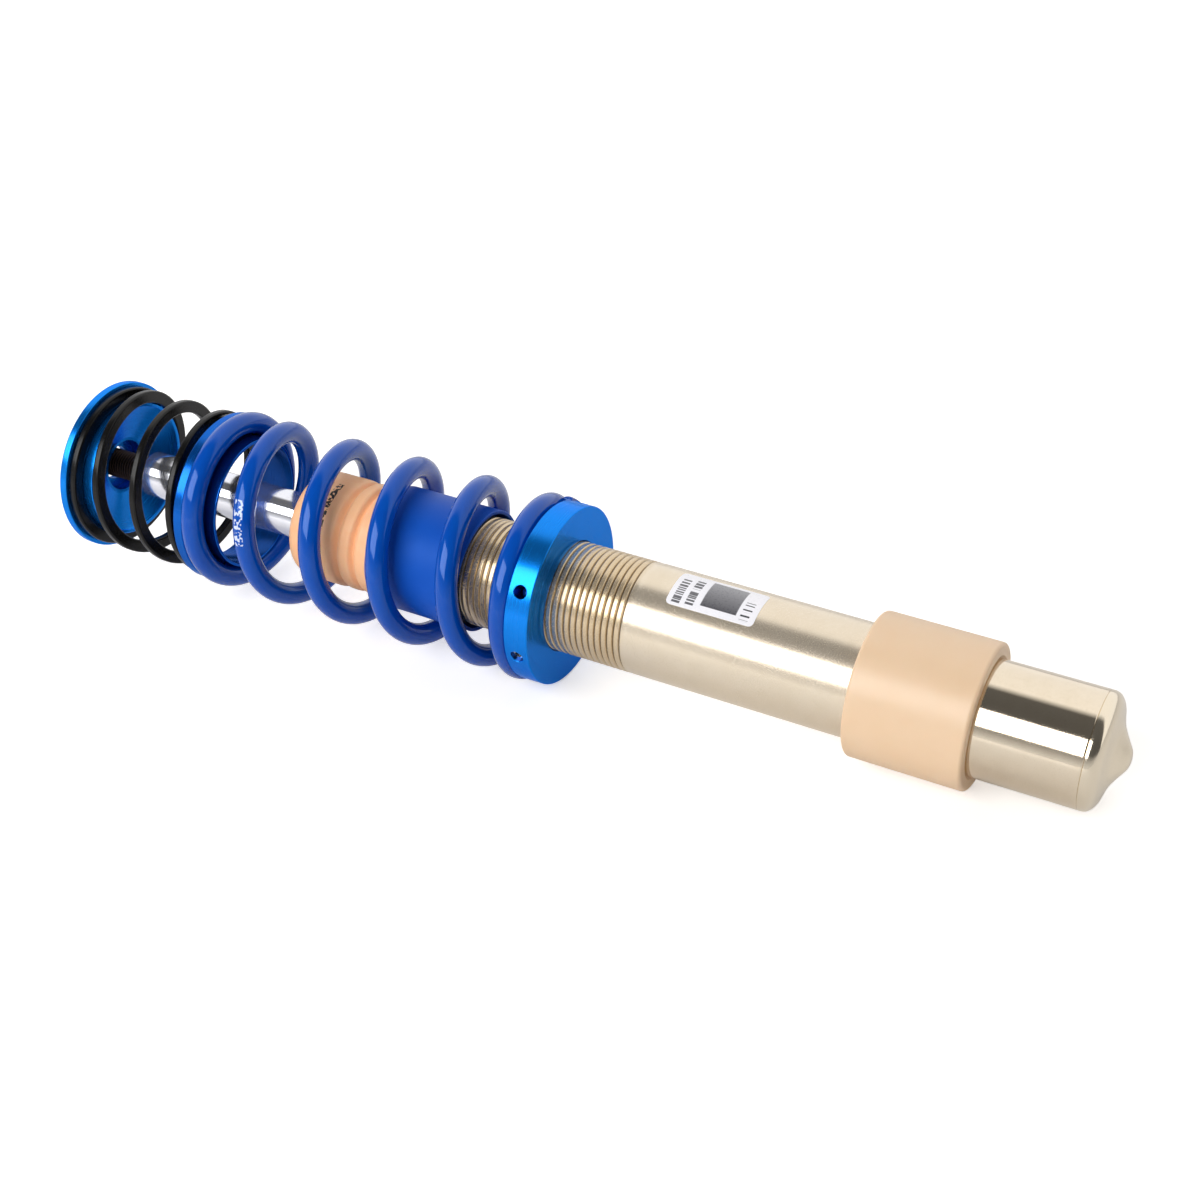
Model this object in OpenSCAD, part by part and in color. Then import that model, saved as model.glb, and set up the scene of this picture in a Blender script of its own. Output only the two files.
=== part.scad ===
// Coil-over strut lying along X: closed lower end towards +X, piston rod stud towards -X.
// The origin is the centre of the knuckle sleeve, on the strut axis. All sizes in millimetres.

/* [Strut tube] */
// Outside diameter of the strut tube
tube_d = 50; // [48:0.5:52]
// Wall thickness of the strut tube
tube_wall = 2.8; // [2.4:0.1:3]
// Distance from the origin up to the tube mouth
tube_up = 249; // [246:1:252]
// Distance from the origin down to the welded end cap
tube_down = 70; // [68:1:74]
// Pitch of the rolled adjusting thread
thread_pitch = 3; // [2:0.5:4]
// Depth of the rolled adjusting thread
thread_depth = 0.85; // [0.5:0.05:1]
// Distance from the origin up to the end of the thread
thread_end = 129; // [126:1:134]
// How far the nub of the pressed end cap stands out past its rim
cap_cone = 10; // [9:0.5:11]
// Height of the straight rim of the end cap
cap_rim = 4.5; // [4:0.5:6]

/* [Knuckle sleeve] */
// Outside diameter of the plastic knuckle sleeve
sleeve_d = 63; // [60:0.5:66]
// Length of the plastic knuckle sleeve
sleeve_len = 51; // [46:1:56]
// Edge radius of the sleeve
sleeve_edge = 2.2; // [1:0.2:3]

/* [Spring perch] */
// Outside diameter of the threaded spring perch
perch_d = 82; // [80:0.5:84]
// Thickness of the perch flange
perch_t = 11.5; // [10:0.5:13]
// Distance from the origin up to the lower face of the perch
perch_up = 165; // [163:1:168]
// Height of the centring collar on the perch
perch_collar = 5; // [3:0.5:5]
// Diameter of the spanner pin holes
pin_hole_d = 6; // [4:0.5:7]
// Depth of the spanner pin holes
pin_hole_depth = 9; // [6:0.5:12]
// Angle of the first spanner pin hole about the strut axis
pin_hole_angle = 149; // [100:1:180]
// Nominal diameter of the clamp screw
screw_d = 6; // [5:0.5:7]

/* [Main spring] */
// Wire diameter of the main spring
wire_d = 10.25; // [9:0.25:11]
// Mean coil diameter of the main spring
coil_d = 74.5; // [74:0.25:76]
// Free length of the main spring
main_len = 172.4; // [170:0.2:176]
// Number of turns of the main spring
main_turns = 6.42; // [6.2:0.02:6.6]
// Angle at which the main spring starts
main_start = -94; // [-120:1:-60]

/* [Helper spring] */
// Radial width of the flat helper wire
flat_w = 6; // [5:0.25:6.5]
// Axial thickness of the flat helper wire
flat_t = 3.6; // [3:0.1:4]
// Mean coil diameter of the helper spring
helper_d = 73; // [72:0.25:74]
// Free length of the helper spring
helper_len = 63.7; // [60:0.1:66]
// Number of turns of the helper spring
helper_turns = 4.13; // [3.9:0.01:4.3]
// Angle at which the helper spring starts
helper_start = 34; // [0:1:90]

/* [Spring seats] */
// Outside diameter of the coupler ring between the springs
coupler_d = 81.6; // [80:0.2:83]
// Thickness of the coupler flange
coupler_t = 4.7; // [4:0.1:5.2]
// Length of the coupler collar inside the main spring
coupler_collar = 12; // [8:0.5:14]
// Bore of the coupler ring
coupler_bore = 60.4; // [58:0.1:61]
// Outside diameter of the upper spring plate
plate_d = 82.8; // [81:0.2:85]
// Thickness of the upper spring plate flange
plate_t = 3.7; // [3.2:0.1:4.2]
// Height of the centring boss on the upper spring plate
boss_h = 9; // [7:0.5:10]
// Bore of the upper spring plate round the stud
plate_bore = 16.4; // [15:0.1:18]
// Diameter of the recess under the plate that takes the rod shoulder
recess_d = 24.8; // [23:0.1:26]
// Depth of that recess below the dish
recess_depth = 5.4; // [4:0.1:6]
// Height of the hub on top of the upper spring plate
hub_h = 4.4; // [3:0.1:6]

/* [Piston rod] */
// Diameter of the chromed piston rod
rod_d = 22; // [20:1:22]
// Distance from the origin up to the rod shoulder
shoulder_up = 398; // [395:1:400]
// Diameter of the threaded stud
stud_d = 14; // [12:1:16]
// Length of the threaded stud
stud_len = 45; // [42:1:50]

/* [Bump stop and dust sleeve] */
// Largest diameter of the bump stop
bump_d = 51; // [48:0.5:52]
// Length of the bump stop above the dust sleeve
bump_len = 44; // [40:1:46]
// Outside diameter of the dust sleeve
dust_d = 56.6; // [56:0.1:57]
// Length of the dust sleeve
dust_len = 49; // [46:1:50]
// Wall thickness of the dust sleeve
dust_wall = 1.7; // [1.2:0.1:2]

/* [Damper inside] */
// Inside diameter of the working cylinder
cylinder_bore = 32; // [30:1:32]
// Wall thickness of the working cylinder
cylinder_wall = 1.5; // [1:0.1:2]
// Running clearance on every sliding diameter, on the radius
run_gap = 0.04; // [0.02:0.01:0.1]

/* [Hidden] */
$fn = 96;
eps = 0.01;
tube_r = tube_d / 2;
tube_in_r = tube_r - tube_wall;
groove_count = floor((tube_up - thread_end - 3) / thread_pitch);
groove_half = 0.65;
groove_floor_half = 0.3;
mouth_chamfer = 0.8;
sleeve_mouth = 1;
socket_depth = 8;
port_count = 6;
screw_bore_r = 3;
foot_head_r = 5.2;
valve_shim_r = 12;
piston_shim_r = 13.5;
shim_taper = 1.6;
perch_r = perch_d / 2;
perch_bore_r = tube_r + 0.2;
perch_edge = 0.6;
seat_low_x = -perch_up - perch_t;
seat_up_x = seat_low_x - main_len;
coil_in_r = (coil_d - wire_d) / 2;
pilot_r = coil_in_r - 0.6;
coupler_top_x = seat_up_x - coupler_t;
helper_in_r = (helper_d - flat_w) / 2;
helper_pilot_r = helper_in_r - 0.4;
plate_low_x = coupler_top_x - helper_len;
plate_top_x = plate_low_x - plate_t;
hub_r = 16;
rod_r = rod_d / 2;
rod_hole_r = rod_r + 0.3;
lip_r = rod_r + run_gap;
cyl_r = cylinder_bore / 2;
cyl_out_r = cyl_r + cylinder_wall;
dust_r = dust_d / 2;
tube_top_x = -tube_up;
bump_foot_x = tube_top_x - 0.3;
dust_top_x = tube_top_x - 8;
screw_angle = pin_hole_angle + 45;
screw_r = screw_d / 2;
pad_low_r = tube_r + 0.3;
pad_top_r = tube_r + 2.4;
screw_top_r = perch_r - 1.6;
guide_top_x = tube_top_x + 8;
seal_end_x = guide_top_x + 7;
spigot_x = guide_top_x + 10;
guide_end_x = guide_top_x + 17;
bush_r = rod_r + 1.6;
seal_r = rod_r + 6.5;
wiper_r = rod_r + 5;
wiper_seat_x = tube_top_x + 5;
ring_minor = 1.4;
ring_x = seal_end_x - 2.5;
foot_x = tube_down - 26;
foot_end_x = tube_down - 10;
foot_top_x = foot_x - 6;
foot_web_x = foot_x + 5;
foot_r = cyl_out_r;
shim_t = 0.5;
shim_step = shim_t + 0.03;
rod_step_x = guide_end_x + 41;
spigot_r = 6;
piston_x = rod_step_x + 4 * shim_step;
piston_len = 18;
piston_end_x = piston_x + piston_len;
nut_x = piston_end_x + 4 * shim_step;
nut_len = 8;
rod_end_x = nut_x + nut_len + 2;
stop_x = guide_end_x + 0.3;
label_low = 75;
label_span = 48;
label_x = -113;
label_len = 40;
label_t = 0.12;

// Stands a shape drawn along +Z on the strut axis, starting at x.
module along(x) {
    translate([x, 0, 0]) {
        rotate([0, 90, 0]) {
            children();
        }
    }
}

// Turns a shape standing out of the axis along +Y to the angle a about the axis.
module radial(x, a) {
    translate([x, 0, 0]) {
        rotate([a, 0, 0]) {
            rotate([-90, 0, 0]) {
                children();
            }
        }
    }
}

// A round ring between two radii.
module ring(x, len, r_in, r_out) {
    along(x) {
        difference() {
            cylinder(h = len, r = r_out);
            translate([0, 0, -1]) {
                cylinder(h = len + 2, r = r_in);
            }
        }
    }
}

// A round body swept from a half outline of [radius, x] points.
module turned(points) {
    along(0) {
        rotate_extrude() {
            polygon(points);
        }
    }
}

// Share of the pitch change passed at turn u, which starts at turn a and is complete at turn b.
function ramp(u, a, b) = u < a ? 0 : (u < b ? (u - a) * (u - a) / (2 * (b - a)) : u - (a + b) / 2);
// Pitch of the open turns of a coil from x0 to x1 whose ends wind at the closed pitch e.
function mid_pitch(n, x0, x1, e, a, b, c, d) =
    (x1 - x0 - e * ((a + b) / 2 + (c + d) / 2)) / (n - (a + b) / 2 - (c + d) / 2);
// Axial place of turn u on a coil of n turns, closed at both ends.
function coil_pos(u, n, x0, x1, e, a, b, c, d) =
    let (p = mid_pitch(n, x0, x1, e, a, b, c, d))
    u < n / 2
        ? x0 + e * u + (p - e) * ramp(u, a, b)
        : x1 - e * (n - u) - (p - e) * ramp(n - u, c, d);

// A coil swept from a closed outline of [radial, axial] points, flattened at its two seats.
module coil(outline, mean_r, n, start, steps, x0, x1, e, a, b, c, d, low, high) {
    count = ceil(n * steps);
    m = len(outline);
    points = [
        for (i = [0:count])
            let (
                u = n * i / count,
                ang = start + 360 * u,
                x = coil_pos(u, n, x0, x1, e, a, b, c, d)
            )
            for (q = outline)
                [min(high, max(low, x + q[1])), (mean_r + q[0]) * cos(ang), (mean_r + q[0]) * sin(ang)]
    ];
    sides = [
        for (i = [0:count - 1])
            for (j = [0:m - 1])
                [i * m + j, i * m + (j + 1) % m, (i + 1) * m + (j + 1) % m, (i + 1) * m + j]
    ];
    first = [[for (j = [m - 1:-1:0]) j]];
    last = [[for (j = [0:m - 1]) count * m + j]];
    polyhedron(points = points, faces = concat(sides, first, last), convexity = 10);
}

module strut_tube() {
    grooves = [
        for (i = [0:groove_count - 1])
            let (x = -thread_end - i * thread_pitch)
            each [
                [tube_r, x + groove_half],
                [tube_r - thread_depth, x + groove_floor_half],
                [tube_r - thread_depth, x - groove_floor_half],
                [tube_r, x - groove_half]
            ]
    ];
    color([0.80, 0.72, 0.58]) {
        turned(concat(
            [[tube_in_r, tube_down], [tube_r, tube_down]],
            grooves,
            [[tube_r, tube_top_x + mouth_chamfer], [tube_r - mouth_chamfer, tube_top_x], [tube_in_r, tube_top_x]]
        ));
    }
}

module tube_end_cap() {
    rim = tube_down + cap_rim;
    tip = rim + cap_cone;
    color([0.82, 0.75, 0.60]) {
        turned([
            [foot_r + 0.1, tube_down - 14], [tube_in_r, tube_down - 14], [tube_in_r, tube_down],
            [tube_r, tube_down], [tube_r, rim - 3], [tube_r - 0.4, rim - 1.5], [tube_r - 1.2, rim - 0.3],
            [tube_r - 2.4, rim + 0.7], [tube_r - 3.8, rim + 1.5], [19.5, rim + 2.1], [17.5, rim + 2.6],
            [15, rim + 0.33 * cap_cone], [12.5, rim + 0.42 * cap_cone], [10.5, rim + 0.53 * cap_cone],
            [8.8, rim + 0.63 * cap_cone], [7.4, rim + 0.72 * cap_cone], [5.9, rim + 0.82 * cap_cone],
            [4.2, rim + 0.92 * cap_cone], [2.3, rim + 0.98 * cap_cone], [0, tip], [0, tip - 5], [6, tip - 7],
            [12, foot_end_x + 3], [14, foot_end_x], [foot_r + 0.1, foot_end_x]
        ]);
    }
}

module knuckle_sleeve() {
    h = sleeve_len / 2;
    r = sleeve_d / 2;
    e = sleeve_edge;
    mouth_r = tube_r + 1.2;
    color([0.88, 0.74, 0.56]) {
        along(0) {
            difference() {
                rotate_extrude() {
                    translate([tube_r - 1, -h]) square([r - e - tube_r + 1, 2 * h]);
                    translate([r - e - eps, -h + e]) square([e + eps, 2 * h - 2 * e]);
                    translate([r - e, h - e]) circle(r = e);
                    translate([r - e, -h + e]) circle(r = e);
                }
                translate([0, 0, -h - 1]) {
                    cylinder(h = sleeve_len + 2, r = tube_r);
                }
                for (turn = [0, 180]) {
                    rotate([turn, 0, 0]) {
                        translate([0, 0, h - sleeve_mouth]) {
                            cylinder(h = sleeve_mouth + eps, r1 = tube_r + 0.2, r2 = mouth_r);
                        }
                    }
                }
            }
        }
    }
}

module type_label() {
    color([0.92, 0.93, 0.93]) {
        along(label_x) {
            rotate([0, 0, label_low + 90]) {
                rotate_extrude(angle = label_span) {
                    translate([tube_r, 0]) {
                        square([label_t, label_len]);
                    }
                }
            }
        }
    }
}

module spring_perch() {
    x0 = seat_low_x;
    color([0.10, 0.42, 0.85]) {
        difference() {
            turned([
                [perch_bore_r, x0 - perch_collar], [pilot_r - 0.8, x0 - perch_collar],
                [pilot_r, x0 - perch_collar + 0.8], [pilot_r, x0], [perch_r - perch_edge, x0],
                [perch_r, x0 + perch_edge], [perch_r, -perch_up - perch_edge],
                [perch_r - perch_edge, -perch_up], [perch_bore_r + 0.8, -perch_up],
                [perch_bore_r, -perch_up - 0.8]
            ]);
            for (i = [0:3]) {
                radial(-perch_up - perch_t / 2, pin_hole_angle + 90 * i) {
                    translate([0, 0, perch_r - pin_hole_depth]) {
                        cylinder(h = pin_hole_depth + 2, r = pin_hole_d / 2);
                    }
                }
            }
            radial(-perch_up - perch_t / 2, screw_angle) {
                translate([0, 0, perch_bore_r - 3]) {
                    cylinder(h = perch_r, r = screw_r);
                }
            }
        }
    }
}

module perch_set_screw() {
    socket_r = screw_d * 0.29;
    color([0.80, 0.81, 0.83]) {
        radial(-perch_up - perch_t / 2, screw_angle) {
            difference() {
                translate([0, 0, pad_top_r]) {
                    cylinder(h = screw_top_r - pad_top_r, r = screw_r);
                }
                translate([0, 0, screw_top_r - 4]) {
                    cylinder(h = 5, r = socket_r, $fn = 6);
                }
            }
        }
    }
}

module set_screw_pad() {
    color([0.90, 0.88, 0.80]) {
        radial(-perch_up - perch_t / 2, screw_angle) {
            translate([0, 0, pad_low_r]) {
                cylinder(h = pad_top_r - pad_low_r, r = screw_r - 0.3);
            }
        }
    }
}

module main_spring() {
    sides = 14;
    wire = [for (k = [0:sides - 1]) [wire_d / 2 * cos(360 * k / sides), wire_d / 2 * sin(360 * k / sides)]];
    color([0.05, 0.22, 0.62]) {
        coil(
            wire, coil_d / 2, main_turns, main_start, 36, seat_up_x + 1.5, seat_low_x - 1.7,
            2.5, 0.62, 1.18, 0.55, 1.35, seat_up_x, seat_low_x
        );
    }
}

module spring_coupler() {
    bore_r = coupler_bore / 2;
    color([0.09, 0.36, 0.80]) {
        turned([
            [bore_r, coupler_top_x - 2], [helper_pilot_r - 0.5, coupler_top_x - 2],
            [helper_pilot_r, coupler_top_x - 1.5], [helper_pilot_r, coupler_top_x],
            [coupler_d / 2 - 0.5, coupler_top_x], [coupler_d / 2, coupler_top_x + 0.5],
            [coupler_d / 2, seat_up_x - 0.5], [coupler_d / 2 - 0.5, seat_up_x], [pilot_r, seat_up_x],
            [pilot_r, seat_up_x + coupler_collar - 1], [pilot_r - 1, seat_up_x + coupler_collar],
            [bore_r, seat_up_x + coupler_collar]
        ]);
    }
}

module helper_spring() {
    w = flat_w / 2;
    t = flat_t / 2;
    c = 0.9;
    flat = [
        [w, -t + c], [w, t - c], [w - c, t], [-w + c, t],
        [-w, t - c], [-w, -t + c], [-w + c, -t], [w - c, -t]
    ];
    color([0.02, 0.02, 0.02]) {
        coil(
            flat, helper_d / 2, helper_turns, helper_start, 48, plate_low_x + t + 0.1,
            coupler_top_x - t - 0.1, 0.3, 0.5, 0.95, 0.45, 0.95, plate_low_x, coupler_top_x
        );
    }
}

module upper_spring_plate() {
    boss_x = plate_low_x + boss_h;
    dish_x = plate_low_x + 1.3;
    recess_x = dish_x - recess_depth;
    hub_x = plate_top_x - hub_h;
    bore_r = plate_bore / 2;
    recess_r = recess_d / 2;
    color([0.10, 0.42, 0.85]) {
        turned([
            [bore_r, hub_x], [hub_r - 0.5, hub_x], [hub_r, hub_x + 0.5], [hub_r, plate_top_x],
            [plate_d / 2 - 0.5, plate_top_x], [plate_d / 2, plate_top_x + 0.5],
            [plate_d / 2, plate_low_x - 0.5], [plate_d / 2 - 0.5, plate_low_x],
            [helper_pilot_r, plate_low_x], [helper_pilot_r, boss_x - 0.8], [helper_pilot_r - 0.8, boss_x],
            [helper_pilot_r - 1.6, boss_x], [14, dish_x], [recess_r, dish_x], [recess_r, recess_x],
            [bore_r, recess_x]
        ]);
    }
}

module piston_rod() {
    color([0.78, 0.79, 0.82]) {
        difference() {
            turned([
                [0, -shoulder_up - stud_len], [stud_d / 2 - 1, -shoulder_up - stud_len],
                [stud_d / 2, -shoulder_up - stud_len + 1], [stud_d / 2, -shoulder_up],
                [rod_r - 1, -shoulder_up], [rod_r, -shoulder_up + 1], [rod_r, rod_step_x],
                [spigot_r, rod_step_x], [spigot_r, rod_end_x - 1], [spigot_r - 1, rod_end_x], [0, rod_end_x]
            ]);
            along(-shoulder_up - stud_len - 1) {
                cylinder(h = socket_depth + 1, r = 3.46, $fn = 6);
            }
        }
    }
}

module bump_stop() {
    r = bump_d / 2;
    x0 = dust_top_x - bump_len;
    neck_r = r - 7;
    waist_r = r - 2.2;
    color([0.93, 0.66, 0.46]) {
        turned([
            [rod_hole_r, x0], [r - 3.5, x0], [r - 1.6, x0 + 1.2], [r - 0.4, x0 + 4], [r, x0 + 8],
            [r, x0 + 22], [r - 0.6, x0 + 24.5], [waist_r, x0 + 26], [waist_r, x0 + 27],
            [r - 0.5, x0 + 28.8], [r - 0.2, x0 + 31], [r - 0.5, x0 + 33.2], [waist_r, x0 + 35],
            [waist_r, x0 + 36], [r - 0.6, x0 + 37.8], [r - 0.2, x0 + 40], [r - 0.2, dust_top_x],
            [neck_r, dust_top_x], [neck_r, dust_top_x + 4], [tube_in_r + 0.6, dust_top_x + 4],
            [tube_in_r + 0.6, bump_foot_x], [rod_hole_r, bump_foot_x]
        ]);
    }
}

module dust_sleeve() {
    r = dust_r;
    neck_r = bump_d / 2 - 7;
    end_x = dust_top_x + dust_len;
    color([0.10, 0.20, 0.62]) {
        turned([
            [neck_r, dust_top_x], [r - 2.5, dust_top_x], [r - 0.8, dust_top_x + 0.8],
            [r, dust_top_x + 2.5], [r, end_x], [r - dust_wall, end_x],
            [r - dust_wall, dust_top_x + 4], [neck_r, dust_top_x + 4]
        ]);
    }
}

module gland_nut() {
    key_r = tube_in_r - 2.6;
    color([0.35, 0.36, 0.38]) {
        difference() {
            turned([
                [rod_r + 1, tube_top_x + 5], [wiper_r, tube_top_x + 5], [wiper_r, tube_top_x + 0.3],
                [tube_in_r - 0.5, tube_top_x + 0.3], [tube_in_r, tube_top_x + 0.8],
                [tube_in_r, guide_top_x], [rod_r + 1, guide_top_x]
            ]);
            for (i = [0:3]) {
                rotate([90 * i, 0, 0]) {
                    translate([tube_top_x, 0, key_r]) {
                        rotate([0, 90, 0]) {
                            cylinder(h = 4, r = 1.6);
                        }
                    }
                }
            }
        }
    }
}

module rod_wiper() {
    color([0.06, 0.06, 0.06]) {
        turned([
            [lip_r, tube_top_x + 0.4], [lip_r + 1.2, tube_top_x], [lip_r + 2, tube_top_x + 1.4],
            [wiper_r, tube_top_x + 1.4], [wiper_r, wiper_seat_x], [lip_r + 1.4, wiper_seat_x],
            [lip_r + 1.4, tube_top_x + 2.6], [lip_r, tube_top_x + 1.2]
        ]);
    }
}

module rod_seal() {
    color([0.08, 0.08, 0.08]) {
        turned([
            [lip_r + 1.2, guide_top_x], [seal_r, guide_top_x], [seal_r, seal_end_x - 0.5],
            [lip_r + 2.4, seal_end_x - 0.5], [lip_r + 1.8, guide_top_x + 3], [lip_r, guide_top_x + 4.2],
            [lip_r, guide_top_x + 3.2], [lip_r + 1.2, guide_top_x + 2]
        ]);
    }
}

module gland_o_ring() {
    color([0.05, 0.05, 0.05]) {
        along(ring_x) {
            rotate_extrude() {
                translate([tube_in_r - ring_minor, 0]) {
                    circle(r = ring_minor, $fn = 32);
                }
            }
        }
    }
}

module rod_guide() {
    groove_r = tube_in_r - 2 * ring_minor;
    color([0.55, 0.56, 0.58]) {
        turned([
            [bush_r, seal_end_x], [seal_r, seal_end_x], [seal_r, guide_top_x], [tube_in_r, guide_top_x],
            [tube_in_r, ring_x - 1.5], [groove_r, ring_x - 1.5], [groove_r, ring_x + 1.5],
            [tube_in_r, ring_x + 1.5], [tube_in_r, spigot_x], [cyl_r, spigot_x],
            [cyl_r, guide_end_x - 1], [cyl_r - 1, guide_end_x], [bush_r, guide_end_x]
        ]);
    }
}

module guide_bush() {
    color([0.62, 0.45, 0.26]) {
        ring(seal_end_x + 0.5, guide_end_x - seal_end_x - 1.5, rod_r + run_gap, bush_r);
    }
}

module working_cylinder() {
    color([0.62, 0.63, 0.66]) {
        ring(spigot_x, foot_x - spigot_x, cyl_r, cyl_out_r);
    }
}

module piston() {
    r = cyl_r - 0.3;
    port_r = 1.8;
    color([0.45, 0.46, 0.48]) {
        difference() {
            turned([
                [spigot_r, piston_x], [r - 0.6, piston_x], [r, piston_x + 0.6], [r, piston_x + 4],
                [r - 1.7, piston_x + 4], [r - 1.7, piston_x + 14], [r, piston_x + 14],
                [r, piston_end_x - 0.6], [r - 0.6, piston_end_x], [spigot_r, piston_end_x]
            ]);
            for (i = [0:port_count - 1]) {
                rotate([360 / port_count * i, 0, 0]) {
                    translate([piston_x - 1, 0, 10.5]) {
                        rotate([0, 90, 0]) {
                            cylinder(h = piston_len + 2, r = port_r);
                        }
                    }
                }
            }
        }
    }
}

module piston_band() {
    color([0.20, 0.32, 0.28]) {
        ring(piston_x + 4.1, 9.8, cyl_r - 1.9, cyl_r - run_gap);
    }
}

module piston_shims() {
    color([0.70, 0.71, 0.73]) {
        for (i = [0:3]) {
            ring(piston_x - shim_step * (i + 1), shim_t, spigot_r, piston_shim_r - shim_taper * i);
            ring(piston_end_x + shim_step * i, shim_t, spigot_r, piston_shim_r - shim_taper * i);
        }
    }
}

module piston_nut() {
    color([0.66, 0.64, 0.56]) {
        along(nut_x) {
            difference() {
                cylinder(h = nut_len, r = 10.4, $fn = 6);
                translate([0, 0, -1]) {
                    cylinder(h = nut_len + 2, r = spigot_r);
                }
            }
        }
    }
}

module rebound_stop() {
    color([0.12, 0.12, 0.12]) {
        turned([
            [rod_r, stop_x], [13, stop_x], [14.6, stop_x + 1.5], [14.6, stop_x + 6], [13.4, stop_x + 7.5],
            [rod_r, stop_x + 7.5]
        ]);
    }
}

module foot_valve() {
    color([0.50, 0.51, 0.53]) {
        difference() {
            turned([
                [screw_bore_r, foot_top_x], [cyl_r - 0.8, foot_top_x], [cyl_r, foot_top_x + 0.8],
                [cyl_r, foot_x], [foot_r, foot_x], [foot_r, foot_end_x], [foot_r - 3.5, foot_end_x],
                [foot_r - 3.5, foot_web_x], [screw_bore_r, foot_web_x]
            ]);
            for (i = [0:port_count - 1]) {
                rotate([360 / port_count * i, 0, 0]) {
                    translate([foot_x - 7, 0, 9]) {
                        rotate([0, 90, 0]) {
                            cylinder(h = 20, r = 1.6);
                        }
                    }
                    translate([foot_end_x - 4, 0, foot_r - 5]) {
                        cube([5, 4, 12], center = true);
                    }
                }
            }
        }
    }
}

module foot_valve_shims() {
    color([0.70, 0.71, 0.73]) {
        for (i = [0:2]) {
            ring(foot_top_x - shim_step * (i + 1), shim_t, screw_bore_r, valve_shim_r - shim_taper * i);
        }
    }
}

module foot_valve_screw() {
    head_x = foot_top_x - 3 * shim_step;
    color([0.60, 0.58, 0.52]) {
        turned([
            [0, head_x - 3], [foot_head_r, head_x - 3], [foot_head_r, head_x], [screw_bore_r, head_x],
            [screw_bore_r, foot_web_x], [foot_head_r, foot_web_x], [foot_head_r, foot_web_x + 3],
            [0, foot_web_x + 3]
        ]);
    }
}

strut_tube();
tube_end_cap();
knuckle_sleeve();
type_label();
spring_perch();
perch_set_screw();
set_screw_pad();
main_spring();
spring_coupler();
helper_spring();
upper_spring_plate();
piston_rod();
bump_stop();
dust_sleeve();
gland_nut();
rod_wiper();
rod_seal();
gland_o_ring();
rod_guide();
guide_bush();
working_cylinder();
piston();
piston_band();
piston_shims();
piston_nut();
rebound_stop();
foot_valve();
foot_valve_shims();
foot_valve_screw();
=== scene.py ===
"""Looks of a coil-over strut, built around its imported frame.

The strut axis is X: the threaded stud points to -X and the closed tube end to +X. Lengths are in millimetres
until a mesh is made, where MM turns them into metres. An angle about the axis starts at +Y and grows to +Z.
"""

import math

import bmesh
import bpy
import numpy as np
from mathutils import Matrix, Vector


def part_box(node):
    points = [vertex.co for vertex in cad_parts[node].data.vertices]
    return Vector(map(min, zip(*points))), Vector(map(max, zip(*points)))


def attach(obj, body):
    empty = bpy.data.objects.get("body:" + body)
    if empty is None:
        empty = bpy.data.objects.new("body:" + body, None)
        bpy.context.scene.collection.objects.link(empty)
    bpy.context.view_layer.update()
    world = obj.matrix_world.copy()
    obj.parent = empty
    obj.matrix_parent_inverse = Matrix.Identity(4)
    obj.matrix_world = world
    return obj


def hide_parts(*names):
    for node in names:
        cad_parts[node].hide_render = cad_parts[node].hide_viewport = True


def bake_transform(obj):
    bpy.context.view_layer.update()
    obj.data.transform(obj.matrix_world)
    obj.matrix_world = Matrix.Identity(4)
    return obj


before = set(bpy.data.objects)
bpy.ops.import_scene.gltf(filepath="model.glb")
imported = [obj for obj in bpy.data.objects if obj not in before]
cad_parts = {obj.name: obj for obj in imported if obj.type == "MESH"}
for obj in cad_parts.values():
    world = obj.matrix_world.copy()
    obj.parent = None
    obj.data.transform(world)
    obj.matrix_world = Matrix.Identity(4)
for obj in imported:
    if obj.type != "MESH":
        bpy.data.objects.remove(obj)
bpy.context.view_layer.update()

MM = 0.001
TURN = 2 * math.pi


# ---------------------------------------------------------------- sizes read from the frame

def span(node):
    """Lowest x, highest x and largest half width of a CAD node, in millimetres."""
    low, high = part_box(node)
    return low.x / MM, high.x / MM, max(high.y, high.z, -low.y, -low.z) / MM


TUBE_TOP, TUBE_LOW, TUBE_R = span("strut_tube")
CAP_INSIDE, CAP_TIP, _ = span("tube_end_cap")
SLEEVE_TOP, SLEEVE_LOW, SLEEVE_R = span("knuckle_sleeve")
LABEL_TOP, LABEL_LOW, _ = span("type_label")
PERCH_COLLAR_X, PERCH_LOW, PERCH_R = span("spring_perch")
SPRING_TOP, SPRING_LOW, _ = span("main_spring")
COUPLER_LIP, COUPLER_END, COUPLER_R = span("spring_coupler")
HELPER_TOP, HELPER_LOW, _ = span("helper_spring")
PLATE_TOP, PLATE_BOSS, PLATE_R = span("upper_spring_plate")
STUD_TOP, ROD_END, ROD_R = span("piston_rod")
BUMP_TOP, BUMP_FOOT, BUMP_R = span("bump_stop")
DUST_TOP, DUST_LOW, DUST_R = span("dust_sleeve")

# Sizes that the boxes don't give, in millimetres. TURNS counts coils; START, ANGLE and ANGLES are degrees.
TUBE_WALL = 2.8
THREAD_PITCH = 3.0
THREAD_DEPTH = 0.9
THREAD_END = -129.0
WIRE_R = 5.125
COIL_R = 37.25
COIL_TURNS = 6.42
COIL_START = -94
HELPER_R = 36.5
HELPER_WIDTH = 6.0
HELPER_THICK = 3.6
HELPER_TURNS = 4.13
HELPER_START = 34
STUD_R = 7.0
STUD_LEN = 45.0
STUD_PITCH = 1.5
SOCKET_FLAT = 3.0
SOCKET_DEPTH = 8
PIN_ANGLE = 149.0
PIN_R = 3.0
PIN_DEPTH = 9.0
COUPLER_BORE = 30.2
PLATE_BORE = 8.2
PLATE_HUB_R = 16.0
PLATE_FLANGE = 3.7
RECESS_R = 12.4
RECESS_DEPTH = 5.4
DUST_WALL = 1.7
BUMP_NECK = BUMP_R - 7
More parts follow.
